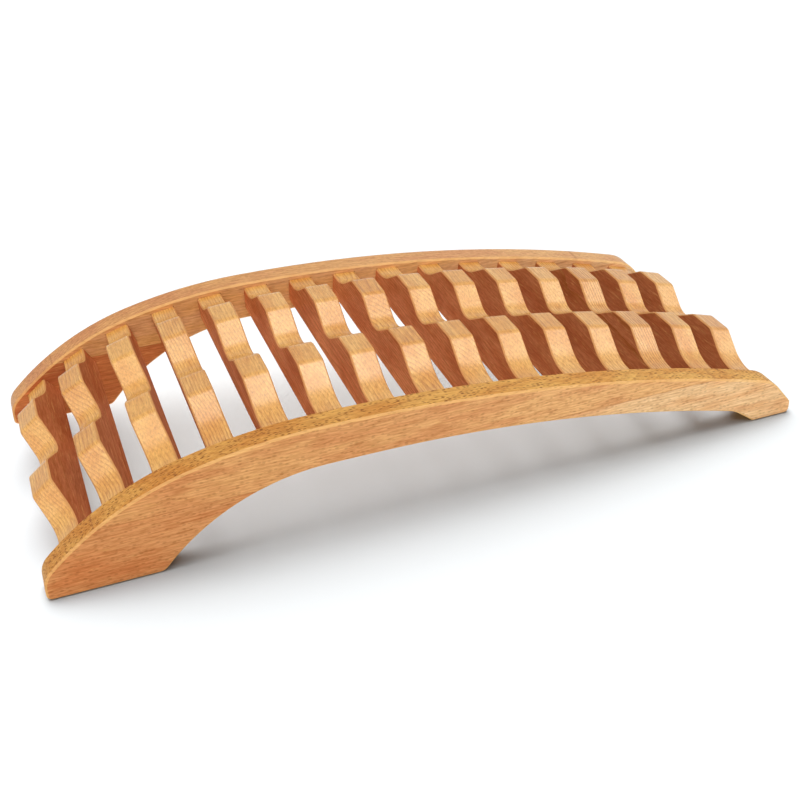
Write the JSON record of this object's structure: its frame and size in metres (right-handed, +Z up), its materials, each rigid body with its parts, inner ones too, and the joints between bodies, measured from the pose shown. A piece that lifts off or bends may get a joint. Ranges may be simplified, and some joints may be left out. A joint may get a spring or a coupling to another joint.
{
  "type": "wooden backbend bench",
  "caption": "Low arched beech bench for back stretching: two curved side rails on flat feet, joined by cross slats with paired humps and a channel for the spine.",
  "frame": {"origin": "on the floor, under the middle of the bench's length and width", "axes": "+X along the bench from the steep head end to the gentle tail end, +Y across it from the front rail to the rear rail, +Z up"},
  "size_m": [0.6, 0.252, 0.103],
  "materials": {
    "rail_board": "satin clear lacquer on beech, grain along the rail",
    "foot_board": "satin clear lacquer on beech, grain along the rail",
    "slat": "satin clear lacquer on beech, grain along the slat"
  },
  "bodies": {
    "root": {"front_arch_board": "rail_board", "front_head_foot": "foot_board", "front_tail_foot": "foot_board", "rear_arch_board": "rail_board", "rear_head_foot": "foot_board", "rear_tail_foot": "foot_board", "slat_01": "slat", "slat_02": "slat", "slat_03": "slat", "slat_04": "slat", "slat_05": "slat", "slat_06": "slat", "slat_07": "slat", "slat_08": "slat", "slat_09": "slat", "slat_10": "slat", "slat_11": "slat", "slat_12": "slat", "slat_13": "slat", "slat_14": "slat", "slat_15": "slat"}
  },
  "joints": []
}
